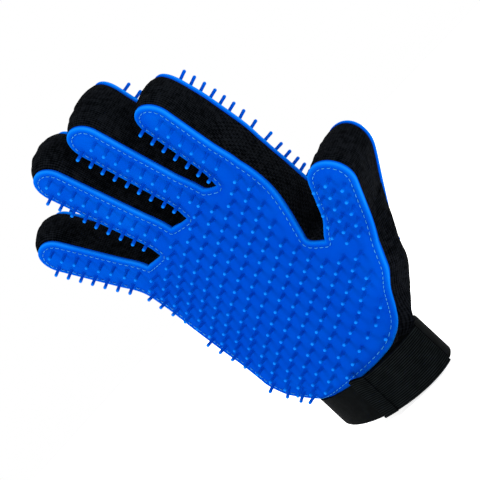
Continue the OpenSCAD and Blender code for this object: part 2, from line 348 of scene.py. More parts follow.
def digit_edges(d, low):
    """The real edges of a digit's lower or upper part, in its own pattern."""
    r, s = d.w / 2, d.split
    up, down = np.array([0, 1.0]), np.array([0, -1.0])
    if low:
        outer = resample([(r, 0), (r, s)], EDGE_STEP)
        inner = outer[::-1] * [-1, 1]
        inner[:, 0] -= d.flare * (1 - smoothstep(inner[:, 1] / s))
        return [(outer, up, up), (inner, down, down)]
    top = d.length - r
    arc = [(r * math.cos(a), top + r * math.sin(a)) for a in np.linspace(0, math.pi, 40)]
    return [(resample([(r, s), *arc, (-r, s)], EDGE_STEP), up, down)]


SHARP_TURN = 0.25       # radians


def ring_of(edge, inset):
    """The edge moved inwards, with round corners where the outline turns in on the pad."""
    points, before, after = edge
    if inset == 0:
        return points
    dirs = [before, *unit(np.diff(points, axis=0)), after]
    out = []
    for p, a, b in zip(points, dirs[:-1], dirs[1:]):
        turn = math.atan2(a[0] * b[1] - a[1] * b[0], a @ b)
        if turn < -SHARP_TURN:
            for k in np.linspace(0, 1, 2 + int(-turn * inset / 0.8)):
                c, s = math.cos(turn * k), math.sin(turn * k)
                n = left(a)
                out.append(p + inset * np.array([c * n[0] - s * n[1], s * n[0] + c * n[1]]))
        elif turn > SHARP_TURN:
            out.append(p + inset * left(unit(a + b)) / math.cos(turn / 2))
        else:
            out.append(p + inset * left(unit(a + b)))
    out[0] = points[0] + inset * left(before)
    out[-1] = points[-1] + inset * left(after)
    return resample(out, EDGE_STEP)


def border_line(d, z, forward):
    """Points across a digit that the pieces on both sides of a border share."""
    high = d.w / 2
    low = -high - (d.flare if z == 0 else 0)
    inner = RINGS[-1]
    middle = np.linspace(high - inner, low + inner, 2 + round((high - low - 2 * inner) / 3))
    x = np.array([*[high - r for r in RINGS[:-1]], *middle, *[low + r for r in RINGS[-2::-1]]])
    x = x if forward else x[::-1]
    return np.stack([x, np.full(len(x), float(z))], axis=1)


def palm_parts():
    edges = palm_edges()
    order = ["thumb", "index", "middle", "ring", "pinky"]
    borders = [digits[n].to_pattern(border_line(digits[n], 0, True)) for n in order]
    return edges, borders


def digit_parts(d, low):
    edges = digit_edges(d, low)
    if low:
        return edges, [border_line(d, d.split, True), border_line(d, 0, False)]
    return edges, [border_line(d, d.split, False)]


def loop_of(edges, borders):
    """The closed outline of a piece: its real edges, each followed by a border."""
    out = []
    for (points, _, _), line in zip(edges, borders):
        out += [*points[:-1], *line[:-1]]
    return np.array(out)


def segments_of(lines):
    return np.concatenate([np.stack([p[:-1], p[1:]], axis=1) for p in lines])


def closed(loop):
    return np.concatenate([loop, loop[:1]])


def apart(points, others):
    """Distance from each point to the nearest of the others."""
    return np.linalg.norm(points[:, None] - others[None], axis=2).min(1)


# ---- nubs ----

def palm_nubs(edges, borders, back):
    """Nubs of the palm stand on a square grid turned from the fingers. The back has one more row,
    down its edge between the index finger and the thumb."""
    loop = loop_of(edges, borders)
    c, s = math.cos(GRID_TURN), math.sin(GRID_TURN)
    grid = np.array([GRID_AT + NUB_PITCH * np.array([i * c - j * s, i * s + j * c])
                     for i in range(-14, 13) for j in range(-17, 7)])
    grid = grid[inside(grid, loop)]
    from_edge = to_segments(grid, segments_of([points for points, _, _ in edges]))
    from_root = to_segments(grid, segments_of(borders))
    grid = grid[(from_edge > NUB_FROM_EDGE) & (from_root > NUB_FROM_ROOT)]
    if back:
        line = spline(WEB_EDGE, 8)
        z = np.arange(*WEB_ROW, -WEB_PITCH)
        row = np.stack([np.interp(z, line[:, 1], line[:, 0]) - ROW_IN[1], z], axis=1)
        grid = np.concatenate([grid[apart(grid, row) > WEB_CLEAR], row])
        grid = grid[to_segments(grid, segments_of([np.array(THUMB_SIDE)])) > NUB_FROM_SIDE]
    return grid


def digit_nubs(d, low, back, palm):
    """Staggered rows of nubs along a digit, clear of its split and of the palm's nubs."""
    rows = 3 if d.name == "thumb" and not back else 2
    reach = d.w / 2 - (THUMB_ROW_IN if d.name == "thumb" and back else ROW_IN[back])
    pitch = INDEX_PITCH if d.name == "index" and back else ROW_PITCH
    out = []
    for k in range(rows):
        x = (2 * k / (rows - 1) - 1) * reach
        top = d.length - d.w / 2 + math.sqrt((reach + 0.8) ** 2 - x ** 2)
        for n in range(-12, 12):
            z = d.split + pitch * (n + (0.25 if k % 2 else 0.75))
            if 1 < z < top and (z < d.split) == low:
                out.append((x, z))
    out = np.array(out)
    return out[apart(d.to_pattern(out), palm) > NUB_APART]


# Rings of a nub: radius, height above the pad, painted light, which rises to a painted highlight on the tip
NUB_PROFILE = [(1.15, 0.3, 0.0), (1.02, 0.9, 0.0), (0.95, 2.2, 0.02), (0.93, 4.0, 0.08),
               (0.96, 5.6, 0.2), (1.0, 6.3, 0.5), (0.82, 6.85, 0.8), (0.45, 7.13, 1.0)]
NUB_SIDES = 10


def nub_circle(centre, r):
    a = np.arange(NUB_SIDES) * 2 * math.pi / NUB_SIDES
    return centre + r * np.stack([np.cos(a), np.sin(a)], axis=1)


# ---- meshes ----

def seam(d):
    """1 on the stitch line, falling to 0 either side of it."""
    return np.exp(-((d - STITCH_IN) / SEAM_HALF) ** 2)


def pad_height(d):
    """Height of a pad's face against distance from its edge: a round rim and a sunk seam."""
    rim = np.sqrt(np.maximum(EDGE_R ** 2 - (EDGE_R - np.minimum(d, EDGE_R)) ** 2, 0)) - EDGE_R
    return rim - SEAM_DEPTH * seam(d)


def unevenness(points):
    return PAD_UNEVEN * ripple(points, UNEVEN_SIZE, 3.0, 2)


def triangulate(points, chains, holes, loop):
    """Triangles of the pattern inside loop, with the chains of points as edges and round holes
    for nubs."""
    index, verts, lines = {}, [], []

    def add(p):
        key = (round(float(p[0]), 4), round(float(p[1]), 4))
        if key not in index:
            index[key] = len(verts)
            verts.append(Vector(key))
        return index[key]

    for chain in chains:
        ids = [add(p) for p in chain]
        lines += [(a, b) for a, b in zip(ids[:-1], ids[1:]) if a != b]
    for p in points:
        add(p)
    found, _, faces, *_ = delaunay_2d_cdt(verts, lines, [], 0, 1e-5)
    found = np.array([tuple(v) for v in found])
    faces = np.array(faces)
    middle = found[faces].mean(1)
    keep = inside(middle, loop)
    if len(holes):
        keep &= apart(middle, holes) > NUB_FOOT * 0.93
    faces = faces[keep]
    used = np.unique(faces)
    renumber = np.full(len(found), -1)
    renumber[used] = np.arange(len(used))
    found, faces = found[used], renumber[faces]
    a, b, c = (found[faces[:, k]] for k in range(3))
    turned = np.cross(b - a, c - a) < 0
    faces[turned] = faces[turned][:, ::-1]
    return found, faces


def finder(points):
    """A function that gives the index of the point nearest to p."""
    tree = kdtree.KDTree(len(points))
    for i, p in enumerate(points):
        tree.insert((p[0], p[1], 0), i)
    tree.balance()
    return lambda p: tree.find((p[0], p[1], 0))[1]


FACE_STEP = 2.7         # distance between the points of a pad's face
NO_HOLES = np.zeros((0, 2))


def face_grid(edges, borders, nubs):
    """Staggered points over a piece's face, clear of its rings, its borders and its nubs."""
    loop = loop_of(edges, borders)
    low, high = loop.min(0), loop.max(0)
    grid = np.array([(x + (j % 2) * FACE_STEP / 2, z)
                     for j, z in enumerate(np.arange(low[1], high[1], FACE_STEP * 0.87))
                     for x in np.arange(low[0], high[0], FACE_STEP)])
    grid = grid[inside(grid, loop)]
    grid = grid[to_segments(grid, segments_of([points for points, _, _ in edges])) > RINGS[-1] + 1.2]
    grid = grid[to_segments(grid, segments_of(borders)) > 1.5]
    return grid[apart(grid, nubs) > NUB_FOOT + 0.9] if len(nubs) else grid


def nub_mesh(n, centre, up, lift, back):
    """Rings and top of the nub at pattern point n, and their painted light, a painted highlight towards the
    tip.
    """
    turn = -1 if back else 1
    right = unit(np.cross([0, 0, 1.0], up)) * turn
    rise = np.cross(up, right) * turn
    lean = NUB_LEAN * np.array([noise.noise(Vector((*(n * 3.1), k))) for k in (5, 9)])
    circle = nub_circle(np.zeros(2), 1)
    rings = [centre + (h + lift) * up + (lean * h + r * circle) @ np.array([right, rise])
             for r, h, _ in NUB_PROFILE]
    painted_lights = np.repeat([t for _, _, t in NUB_PROFILE], NUB_SIDES)
    return np.array([*np.concatenate(rings), centre + (NUB_H + lift) * up]), [*painted_lights, 1.0]


def nub_faces(foot, start):
    """Faces of a nub whose vertices begin at start and whose foot is the given ring."""
    rings = [foot] + [[start + i * NUB_SIDES + k for k in range(NUB_SIDES)] for i in range(len(NUB_PROFILE))]
    top = start + len(NUB_PROFILE) * NUB_SIDES
    after = [(k, (k + 1) % NUB_SIDES) for k in range(NUB_SIDES)]
    faces = [(a[k], a[m], b[m], b[k]) for a, b in zip(rings[:-1], rings[1:]) for k, m in after]
    return faces + [(rings[-1][k], rings[-1][m], top) for k, m in after]


def pad_mesh(edges, borders, nubs, point_of, back):
    """One closed piece of a silicone pad: its face with nubs, its round rim, its sides and its
    inner face."""
    loop = loop_of(edges, borders)
    chains = [ring_of(e, d) for e in edges for d in RINGS] + list(borders)
    chains += [closed(nub_circle(n, NUB_FOOT)) for n in nubs]
    grid = face_grid(edges, borders, nubs)
    flat, faces = triangulate(grid, chains, nubs, loop)
    d = to_segments(flat, segments_of([points for points, _, _ in edges]))
    base, normal = with_normal(point_of, flat, back)
    uneven = unevenness(base) * smoothstep((d - 0.2) / 6)
    verts = [base + normal * (pad_height(d) + uneven)[:, None]]
    out = np.linalg.norm(base[:, [0, 2]] - PALM_MIDDLE, axis=1)
    # painted light: lighter towards the fingertips where more light falls, a painted highlight along the
    # round rim, and painted shade in the sunk seam
    painted_light = [PAINTED_FINGER_LIGHT * smoothstep((out - FINGER_LIGHT_FROM) / FINGER_LIGHT_OVER) + 0.75 * np.exp(-(d / 1.1) ** 2) - 0.3 * seam(d)]
    faces = [tuple(f) for f in faces]
    count = len(flat)
    where = finder(flat)

    # nubs rise from the rings left open in the face
    if len(nubs):
        centres, ups = with_normal(point_of, nubs, back)
        for n, centre, up, lift in zip(nubs, centres, ups, unevenness(centres)):
            points, painted_lights = nub_mesh(n, centre, up, lift, back)
            faces += nub_faces([where(p) for p in nub_circle(n, NUB_FOOT)], count)
            verts.append(points)
            painted_light.append(painted_lights)
            count += len(points)

    # the inner face, on the same outline
    coarse = grid[::3] if len(grid) > 40 else grid
    under, under_faces = triangulate(coarse, [closed(loop)], NO_HOLES, loop)
    base, normal = with_normal(point_of, under, back)
    verts.append(base - normal * PAD_T)
    # the inner face is painted darker: painted shade where it lies against the lining
    painted_light.append(np.full(len(under), -0.3))
    faces += [tuple(int(i) + count for i in f[::-1]) for f in under_faces]
    where_under = finder(under)
    rim = [where(p) for p in loop]
    foot = [where_under(p) + count for p in loop]
    n = len(loop)
    faces += [(rim[k], foot[k], foot[(k + 1) % n], rim[(k + 1) % n]) for k in range(n)]
    if back:
        faces = [f[::-1] for f in faces]
    return np.concatenate(verts), faces, np.concatenate(painted_light)


def make(name, verts, faces, material, painted_light=None, uv=None, sharp=48):
    """A mesh object from points in millimetres."""
    mesh = bpy.data.meshes.new(name)
    co = np.asarray(verts, float) * MM
    mesh.from_pydata(co.tolist(), [], [tuple(int(i) for i in f) for f in faces])
    mesh.materials.append(material)
    mesh.polygons.foreach_set("use_smooth", [True] * len(mesh.polygons))
    rest = mesh.attributes.new("rest", "FLOAT_VECTOR", "POINT")
    rest.data.foreach_set("vector", co.astype(np.float32).ravel())
    # painted light: painted highlights and painted shade, kept as a point attribute that the materials read
    if painted_light is not None:
        painted_lights = mesh.attributes.new("painted_light", "FLOAT", "POINT")
        painted_lights.data.foreach_set("value", np.asarray(painted_light, np.float32))
    if uv is not None:
        layer = mesh.uv_layers.new(name="cloth")
        corners = np.empty(len(mesh.loops), np.int32)
        mesh.loops.foreach_get("vertex_index", corners)
        layer.data.foreach_set("uv", (np.asarray(uv)[corners] * MM).astype(np.float32).ravel())
    mesh.update()
    mesh.set_sharp_from_angle(angle=math.radians(sharp))
    obj = bpy.data.objects.new(name, mesh)
    bpy.context.scene.collection.objects.link(obj)
    return obj


def place(obj, slot, replaces, body=None, digit=None, low=True):
    """Gives a piece its body, or bakes its transform in place when it belongs to a digit."""
    if digit is None:
        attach(obj, body)
    else:
        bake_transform(obj)
    if replaces:
        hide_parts(*replaces)
    return obj


# ---- materials ----

def nodes_of(name, **sockets):
    """A material with a Principled shader whose uniform values are set on its own sockets."""
    m = bpy.data.materials.new(name)
    m.use_nodes = True
    tree = m.node_tree
    shader = tree.nodes["Principled BSDF"]
    for key, value in sockets.items():
        shader.inputs[key.replace("_", " ")].default_value = value
    return m, tree, shader


def attribute(tree, name):
    n = tree.nodes.new("ShaderNodeAttribute")
    n.attribute_name = name
    return n


def noise_node(tree, vector, scale, detail=3.0):
    n = tree.nodes.new("ShaderNodeTexNoise")
    n.inputs["Scale"].default_value = scale
    n.inputs["Detail"].default_value = detail
    tree.links.new(vector, n.inputs["Vector"])
    return n


def maths(tree, operation, a, b):
    n = tree.nodes.new("ShaderNodeMath")
    n.operation = operation
    for socket, value in zip(n.inputs, (a, b)):
        if isinstance(value, (int, float)):
            socket.default_value = value
        else:
            tree.links.new(value, socket)
    return n.outputs[0]


def ramp(tree, fac, stops):
    n = tree.nodes.new("ShaderNodeValToRGB")
    while len(n.color_ramp.elements) < len(stops):
        n.color_ramp.elements.new(0.5)
    for element, (at, colour) in zip(n.color_ramp.elements, stops):
        element.position = at
        element.color = (*colour, 1)
    tree.links.new(fac, n.inputs["Fac"])
    return n.outputs["Color"]


def bump(tree, shader, height, strength, distance):
    n = tree.nodes.new("ShaderNodeBump")
    n.inputs["Strength"].default_value = strength
    n.inputs["Distance"].default_value = distance
    tree.links.new(height, n.inputs["Height"])
    tree.links.new(n.outputs["Normal"], shader.inputs["Normal"])


def silicone():
    m, tree, shader = nodes_of("silicone", Specular_IOR_Level=0.0)
    rest = attribute(tree, "rest").outputs["Vector"]
    painted_light = attribute(tree, "painted_light").outputs["Fac"]
    cloud = noise_node(tree, rest, 55).outputs["Fac"]
    grain = noise_node(tree, rest, 1400, 2).outputs["Fac"]
    # the colour rises with the painted light (painted highlights on rims and nub tips, painted shade in seams
    # and on the inner face) and with random clouding
    level = maths(tree, "MULTIPLY", painted_light, 0.38)
    level = maths(tree, "ADD", level, maths(tree, "MULTIPLY", cloud, 0.22))
    level = maths(tree, "ADD", level, 0.39)
    colour = ramp(tree, level, [(0.05, (0.0, 0.018, 0.31)), (0.33, (0.0, 0.034, 0.36)),
                                (0.52, (0.0, 0.049, 0.39)), (0.72, (0.0, 0.09, 0.48)),
                                (0.95, (0.006, 0.18, 0.7))])
    tree.links.new(colour, shader.inputs["Base Color"])
    rough = maths(tree, "ADD", maths(tree, "MULTIPLY", cloud, 0.16), 0.34)
    tree.links.new(rough, shader.inputs["Roughness"])
    bump(tree, shader, grain, 0.12, 0.0002)
    return m


def thread():
    m, tree, shader = nodes_of("stitch_thread", Roughness=0.7, Specular_IOR_Level=0.2)
    rest = attribute(tree, "rest").outputs["Vector"]
    twist = noise_node(tree, rest, 900).outputs["Fac"]
    colour = ramp(tree, twist, [(0.3, (0.015, 0.17, 0.46)), (0.7, (0.045, 0.29, 0.6))])
    tree.links.new(colour, shader.inputs["Base Color"])
    bump(tree, shader, twist, 0.4, 0.0002)
    return m


def knit(name, dark, light, pitch, mesh_holes=False):
    """Black knitted cloth: fine ribs along the piece, crossed by rows of loops."""
    m, tree, shader = nodes_of(name, Roughness=0.9, Specular_IOR_Level=0.01)
    uv = tree.nodes.new("ShaderNodeUVMap")
    uv.uv_map = "cloth"
    rest = attribute(tree, "rest").outputs["Vector"]
    split = tree.nodes.new("ShaderNodeSeparateXYZ")
    tree.links.new(uv.outputs["UV"], split.inputs[0])
    waver = noise_node(tree, rest, 160).outputs["Fac"]
    turn = 2 * math.pi / (pitch * MM)
    wave = maths(tree, "MULTIPLY", waver, 2.5)
    u = maths(tree, "MULTIPLY", split.outputs[0], turn * 0.8)
    v = maths(tree, "ADD", maths(tree, "MULTIPLY", split.outputs[1], turn), wave)
    ribs = maths(tree, "SINE", v, 0)
    loops = maths(tree, "SINE", u, 0)
    height = maths(tree, "MULTIPLY", ribs, 0.65)
    height = maths(tree, "ADD", height, maths(tree, "MULTIPLY", loops, 0.35))
    if mesh_holes:
        holes = maths(tree, "MULTIPLY", maths(tree, "SINE", maths(tree, "MULTIPLY", u, 0.4), 0),
                      maths(tree, "SINE", maths(tree, "MULTIPLY", v, 0.4), 0))
        height = maths(tree, "ADD", height, maths(tree, "MULTIPLY", holes, 0.9))
    # colour: painted highlights on the crests of the ribs and loops, random fuzz, and painted shade of folds
    # in larger patches
    fuzz = noise_node(tree, rest, 420).outputs["Fac"]
    fuzz_and_painted_light = maths(tree, "ADD", maths(tree, "MULTIPLY", height, 0.25), fuzz)
    painted_fold_shade = noise_node(tree, rest, 75).outputs["Fac"]
    fuzz_and_painted_light = maths(tree, "ADD", fuzz_and_painted_light, maths(tree, "MULTIPLY", painted_fold_shade, 0.5))
    colour = ramp(tree, fuzz_and_painted_light, [(0.55, dark), (1.0, light)])
    tree.links.new(colour, shader.inputs["Base Color"])
    bump(tree, shader, height, 0.5, 0.0005)
    return m


def webbing():
    """Elastic webbing: crests with a painted highlight, grooves with painted shade, and a fine weave across
    them.
    """
    m, tree, shader = nodes_of("elastic_webbing", Roughness=0.75, Specular_IOR_Level=0.02)
    rest = attribute(tree, "rest").outputs["Vector"]
    painted_light = attribute(tree, "painted_light").outputs["Fac"]
    uv = tree.nodes.new("ShaderNodeUVMap")
    uv.uv_map = "cloth"
    split = tree.nodes.new("ShaderNodeSeparateXYZ")
    tree.links.new(uv.outputs["UV"], split.inputs[0])
    weave = maths(tree, "SINE", maths(tree, "MULTIPLY", split.outputs[0], 2 * math.pi / (0.9 * MM)), 0)
    patches = noise_node(tree, rest, 260).outputs["Fac"]
    # painted light lifts the crests to a painted highlight and sinks the grooves into painted shade; the
    # patches vary at random
    level = maths(tree, "ADD", maths(tree, "MULTIPLY", painted_light, 0.6), maths(tree, "MULTIPLY", patches, 0.5))
    level = maths(tree, "ADD", level, maths(tree, "MULTIPLY", weave, 0.06))
    colour = ramp(tree, level, [(0.2, (0.0001, 0.0003, 0.0004)), (0.6, (0.0011, 0.0016, 0.0018)),
                                (0.95, (0.0075, 0.01, 0.011))])
    tree.links.new(colour, shader.inputs["Base Color"])
    bump(tree, shader, weave, 0.3, 0.0002)
    return m


BLACK_DARK, BLACK_LIGHT = (0.0001, 0.0003, 0.0006), (0.0048, 0.0057, 0.0075)
mat_silicone = silicone()
mat_thread = thread()
mat_knit = knit("side_knit", BLACK_DARK, BLACK_LIGHT, 1.1)
mat_mesh = knit("side_mesh", BLACK_DARK, BLACK_LIGHT, 1.1, mesh_holes=True)
mat_lining = knit("lining_knit", (0.006, 0.006, 0.007), (0.018, 0.018, 0.02), 0.9)
mat_elastic = webbing()
mat_hook = knit("hook_tape", (0.006, 0.006, 0.007), (0.03, 0.03, 0.032), 1.4)


# ---- pads and their stitches ----

def stitches(edges, point_of, back):
    """Short rounded stitches sunk a little into the seam."""
    verts, faces = [], []
    for edge in edges:
        line = resample(ring_of(edge, STITCH_IN), 0.2)
        along = np.concatenate([[0], np.cumsum(np.linalg.norm(np.diff(line, axis=0), axis=1))])
        count = max(1, round(along[-1] / STITCH_PITCH))
        period = along[-1] / count
        for k in range(count):
            s = np.linspace(k * period + THREAD_GAP, (k + 1) * period - THREAD_GAP, 6)
            p = np.stack([np.interp(s, along, line[:, i]) for i in range(2)], axis=1)
            base, normal = with_normal(point_of, p, back)
            run = unit(np.gradient(base, axis=0))
            side = unit(np.cross(normal, run))
            for i, t in enumerate(np.linspace(-1, 1, 6)):
                r = STITCH_R * math.sqrt(max(1 - 0.8 * t ** 4, 0.05))
                lift = -0.45 * t ** 4
                for a in np.arange(6) * math.pi / 3:
                    verts.append(base[i] + normal[i] * (lift + r * math.sin(a)) + side[i] * r * math.cos(a))
            n0 = len(verts) - 36
            for i in range(5):
                for j in range(6):
                    a, b = n0 + i * 6 + j, n0 + i * 6 + (j + 1) % 6
                    faces.append((a, b, b + 6, a + 6))
            faces.append(tuple(n0 + j for j in range(5, -1, -1)))
            faces.append(tuple(n0 + 30 + j for j in range(6)))
    return np.array(verts), faces


def build_pads():
    edges, borders = palm_parts()
    for back in (False, True):
        face = "back" if back else "front"
        nubs = palm_nubs(edges, borders, back)

        def palm_of(p):
            return palm_point(p, back)

        verts, faces, painted_light = pad_mesh(edges, borders, nubs, palm_of, back)
        place(make(f"{face}_palm_silicone", verts, faces, mat_silicone, painted_light), "silicone",
              [f"{face}_palm_pad"], body="hand")
        place(make(f"{face}_palm_stitches", *stitches(edges, palm_of, back), mat_thread), "silicone",
              [], body="hand")
        for d in digits.values():
            def digit_of(p):
                return d.point(p, back)

            for low in (True, False):
                part = "base" if low else "tip"
                sides, ends = digit_parts(d, low)
                rows = digit_nubs(d, low, back, nubs)
                verts, faces, painted_light = pad_mesh(sides, ends, rows, digit_of, back)
                piece = f"{d.name}_{face}_{part}"
                place(make(f"{piece}_silicone", verts, faces, mat_silicone, painted_light), "silicone",
                      [f"{piece}_pad"], digit=d, low=low)
                place(make(f"{piece}_stitches", *stitches(sides, digit_of, back), mat_thread),
                      "silicone", [], digit=d, low=low)


# ---- fabric sides ----

SIDE_ROWS = 19          # points across a side
WRINKLE = 0.5           # height of a side's wrinkles
SIDE_SWELL = 1.2        # a digit's sides bulge by this much
PALM_SWELL = 1.6        # the palm's
WEB_SWELL = 0.6         # and the webs
THUMB_SWELL = (6.5, 4.6, 1.8)   # outside the thumb: at the cuff, its root and its middle
THUMB_SKEW = 1.8        # and this is its skew
# Extra bulge at the tips
TIP_BULGE = {"index": 1.6, "middle": 3.0, "ring": 5.0, "pinky": 4.4, "thumb": 0.4}


def side_mesh(edge, front_of, back_of, bulge, skew):
    """A closed strip of cloth between the front and back pads, along an edge of the pattern.
    A larger skew moves its bulge towards the back."""
    points, before, after = edge
    dirs = [before, *unit(np.diff(points, axis=0)), after]
    out2 = np.array([-left(unit(a + b)) for a, b in zip(dirs[:-1], dirs[1:])])
    q = points - out2 * 1.1
    f, fn = with_normal(front_of, q, False)
    b, bn = with_normal(back_of, q, True)
    f, b = f - fn * (PAD_T - 0.25), b - bn * (PAD_T - 0.25)
    h = 0.5
    out = sum(face_of(q + out2 * h) - face_of(q - out2 * h) for face_of in (front_of, back_of))
    chord = unit(b - f)
    out = unit(out - (out * chord).sum(1, keepdims=True) * chord)
    along = np.concatenate([[0], np.cumsum(np.linalg.norm(np.diff(points, axis=0), axis=1))])
    t = np.linspace(0, 1, SIDE_ROWS)
    depth = np.linalg.norm(b - f, axis=1)
    outer = np.empty((len(points), SIDE_ROWS, 3))
    swell = np.broadcast_to(np.asarray(bulge, float), len(points))
    for k, tk in enumerate(t):
        arch = math.sin(math.pi * tk ** skew) ** 0.6
        outer[:, k] = f + (b - f) * tk + out * (0.6 + swell * arch)[:, None]
    flat = outer.reshape(-1, 3)
    ease = np.tile(np.sin(math.pi * t) ** 0.5, len(points))
    spread = np.repeat(out, SIDE_ROWS, axis=0)
    run = np.repeat(along, SIDE_ROWS)
    rise = np.tile(t, len(points)) * np.repeat(depth, SIDE_ROWS)
    shape = ripple(np.stack([run / 3.5, rise, 0 * run], axis=1), 5, 11.0, 2)
    shape += 0.6 * ripple(flat, 4, 31.0, 2)
    flat = flat + spread * (WRINKLE * shape * ease)[:, None]
    inner = flat - spread * FABRIC_T
    n, m = len(points), SIDE_ROWS
    faces = []
    for i in range(n - 1):
        for k in range(m - 1):
            a = i * m + k
            faces.append((a, a + m, a + m + 1, a + 1))
            a += n * m
            faces.append((a, a + 1, a + m + 1, a + m))
    for k in range(m - 1):
        a, b2 = k, k + n * m
        faces.append((a, a + 1, b2 + 1, b2))
        a, b2 = (n - 1) * m + k, (n - 1) * m + k + n * m
        faces.append((a, b2, b2 + 1, a + 1))
    for i in range(n - 1):
        a, b2 = i * m, i * m + n * m
        faces.append((a, b2, b2 + m, a + m))
        a, b2 = i * m + m - 1, i * m + m - 1 + n * m
        faces.append((a, a + m, b2 + m, b2))
    uv = np.stack([np.repeat(along, m), (np.tile(t, n) * np.repeat(depth, m))], axis=1)
    return np.concatenate([flat, inner]), faces, np.concatenate([uv, uv]), along[-1]


def add_side(name, edge, front_of, back_of, bulge, material, replaces, skew=1.0, **where):
    verts, faces, uv, length = side_mesh(edge, front_of, back_of, bulge, skew)
    obj = make(name, verts, faces, material, uv=uv, sharp=60)
    place(obj, "side_fabric", replaces, **where)
    return obj


def build_sides():
    def front_palm(p):
        return palm_point(p, False)

    def back_palm(p):
        return palm_point(p, True)

    pinky, thumb = digits["pinky"], digits["thumb"]
    _, web, *crotches = palm_edges()
    for node, edge in zip(["index_middle_web", "middle_ring_web", "ring_pinky_web"], crotches):
        add_side(f"{node}_fabric", edge, front_palm, back_palm, WEB_SWELL, mat_knit, [node], body="hand")
    add_side("index_thumb_fabric", web, front_palm, back_palm, PALM_SWELL, mat_mesh,
             ["index_thumb_gusset"], body="hand")
    down = spline([corner(pinky, -1), *PINKY_SIDE], 8)
    edge = (resample(down, EDGE_STEP), edge_dir(pinky, -1), unit(down[-1] - down[-2]))
    add_side("pinky_side_fabric", edge, front_palm, back_palm, PALM_SWELL, mat_knit,
             ["pinky_side_gusset"], body="hand")
    up = resample(spline([*THUMB_SIDE, corner(thumb, 1)], 8), EDGE_STEP)
    swell = np.linspace(*THUMB_SWELL[:2], len(up))
    add_side("thumb_side_fabric", (up, unit(up[1] - up[0]), edge_dir(thumb, 1)),
             front_palm, back_palm, swell, mat_knit, ["thumb_side_gusset"], skew=THUMB_SKEW, body="hand")
    for d in digits.values():
        def front_of(p):
            return d.point(p, False)

        def back_of(p):
            return d.point(p, True)

        outer, inner = digit_edges(d, True)
        cloth = mat_mesh if d.name == "index" else mat_knit
        for side, edge in (("outer", outer), ("inner", inner)):
            swell, skew = SIDE_SWELL, 1.0
            if f"{d.name}_{side}" == "thumb_outer":
                swell, skew = np.linspace(*THUMB_SWELL[1:], len(edge[0])), THUMB_SKEW
            add_side(f"{d.name}_{side}_fabric", edge, front_of, back_of, swell, cloth,
                     [f"{d.name}_{side}_gusset"], skew=skew, digit=d, low=True)
        tip, = digit_edges(d, False)
        along = np.linspace(0, 1, len(tip[0]))
        swell = SIDE_SWELL + TIP_BULGE[d.name] * np.sin(math.pi * along) ** 2
        add_side(f"{d.name}_tip_fabric", tip, front_of, back_of, swell, mat_knit,
                 [f"{d.name}_tip_gusset"], digit=d, low=False)


# ---- linings ----

def build_linings():
    index, middle, ring, pinky, thumb = (digits[n] for n in DIGITS)
    outline = np.concatenate([
        spline([corner(pinky, -1), *PINKY_SIDE, LINING_FEET[0]], 6),
        spline([LINING_FEET[1], *THUMB_SIDE, corner(thumb, 1)], 6),
        spline([corner(thumb, -1), *WEB_EDGE, corner(index, 1)], 6),
        [corner(index, -1), corner(middle, 1), corner(middle, -1), corner(ring, 1), corner(ring, -1),
         corner(pinky, 1)]])
    loop = resample(closed(outline), 2.5)[:-1]
    dirs = unit(np.roll(loop, -1, axis=0) - np.roll(loop, 1, axis=0))
    loop = loop + 1.3 * np.stack([-dirs[:, 1], dirs[:, 0]], axis=1)
    low, high = loop.min(0), loop.max(0)
    grid = np.array([(x, z) for x in np.arange(low[0], high[0], 4.0)
                     for z in np.arange(low[1], high[1], 4.0)])
    grid = grid[inside(grid, loop)]
    grid = grid[to_segments(grid, segments_of([closed(loop)])) > 2]
    flat, tris = triangulate(grid, [closed(loop)], NO_HOLES, loop)
    where = finder(flat)
    rim = [where(p) for p in loop]
    n, count = len(loop), len(flat)
    for back in (False, True):
        face = "back" if back else "front"
        base, normal = with_normal(lambda p: palm_point(p, back), flat, back)
        near, far = (base - normal * (PAD_T + t) for t in (0.12, 1.1))
        faces = [tuple(f) for f in tris] + [tuple(int(i) + count for i in f[::-1]) for f in tris]
        faces += [(rim[k], rim[k] + count, rim[(k + 1) % n] + count, rim[(k + 1) % n])
                  for k in range(n)]
        if back:
            faces = [f[::-1] for f in faces]
        obj = make(f"{face}_palm_lining_cloth", np.concatenate([near, far]), faces, mat_lining,
                   uv=np.concatenate([flat, flat]))
        place(obj, "lining", [f"{face}_palm_lining"], body="hand")


# ---- cuff and strap ----

STRAP_RIBS = 22                  # along the free end's outer face
STRAP_FROM = -81                 # the strap's free end, degrees round the cuff
END_RISE = 3.0                   # its upper corner stands higher by this much
END_OVER = 16                    # over these degrees
RIB_H = 0.4                      # height of a rib
TILT_FROM = math.radians(-46)    # the wrist opening is lowest towards this side
LOW_TILT = 0.3                   # slope of a band's lower edge, up from there
TOP_TILT = 0.12                  # and of the strap's upper edge
STRAP_SLACK = 3.0                # the strap stands off the cuff by up to this much
SLACK_AT = 10                    # at this angle, on the thumb's side


def far_from_front(angle):
    """Distance of a point of the cuff from its lowest side."""
    a = math.radians(angle)
    reach = math.hypot(CUFF_A * math.cos(TILT_FROM), CUFF_B * math.sin(TILT_FROM))
    return reach - CUFF_A * math.cos(a) * math.cos(TILT_FROM) - CUFF_B * math.sin(a) * math.sin(TILT_FROM)


def slack_at(angle):
    return STRAP_SLACK * (0.5 + 0.5 * math.cos(math.radians(angle - SLACK_AT))) ** 2


